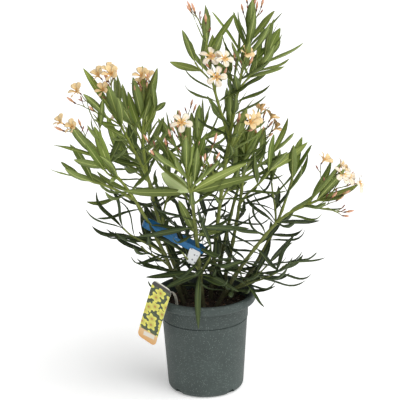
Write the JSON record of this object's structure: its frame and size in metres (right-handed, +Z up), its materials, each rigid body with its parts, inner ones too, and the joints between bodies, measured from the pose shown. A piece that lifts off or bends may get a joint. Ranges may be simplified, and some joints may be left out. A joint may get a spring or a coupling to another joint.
{
  "type": "potted oleander shrub",
  "caption": "Young oleander shrub with leaning leafy stems, standing in a round nursery pot with a rolled rim.",
  "frame": {"origin": "middle of the pot's flat underside, on the surface that the pot stands on", "axes": "+Z up, along the pot's axis; front of the plant, with its picture tag, towards -Y; +X to the right of a viewer in front"},
  "size_m": [0.6172, 0.4124, 0.818],
  "materials": {
    "pot_plastic": "matte grey-green recycled plastic with fine light and dark specks",
    "compost": "dark moist bark compost",
    "stem_bark": "smooth yellow-green young bark, olive brown and scarred lower down",
    "leaf": "leathery satin leaf with a pale midrib",
    "tag_card": "printed satin plastic card",
    "tag_tongue": "plain white plastic strip",
    "strap_blue": "smooth blue plastic film",
    "strap_white": "matte white plastic film"
  },
  "bodies": {
    "root": {"bough_left": "stem_bark", "bough_top_left": "stem_bark", "bough_upper_left": "stem_bark", "compost": "compost", "foliage_back": "leaf", "foliage_back_left": "leaf", "foliage_back_low": "leaf", "foliage_back_right": "leaf", "foliage_centre": "leaf", "foliage_centre_left": "leaf", "foliage_front": "leaf", "foliage_front_low": "leaf", "foliage_left": "leaf", "foliage_left_low": "leaf", "foliage_left_outer": "leaf", "foliage_right": "leaf", "foliage_right_back": "leaf", "foliage_right_low": "leaf", "foliage_right_middle": "leaf", "foliage_top": "leaf", "foliage_top_left": "leaf", "foliage_upper_left": "leaf", "foliage_upper_left_outer": "leaf", "loop_head": "strap_white", "loop_strap": "strap_blue", "picture_tag": "tag_card", "pot": "pot_plastic", "stem_back": "stem_bark", "stem_back_left": "stem_bark", "stem_back_right": "stem_bark", "stem_front": "stem_bark", "stem_left": "stem_bark", "stem_right_back": "stem_bark", "stem_right_low": "stem_bark", "stem_right_middle": "stem_bark", "stem_tall": "stem_bark", "stem_upper_left": "stem_bark", "tag_tongue": "tag_tongue"}
  },
  "joints": []
}
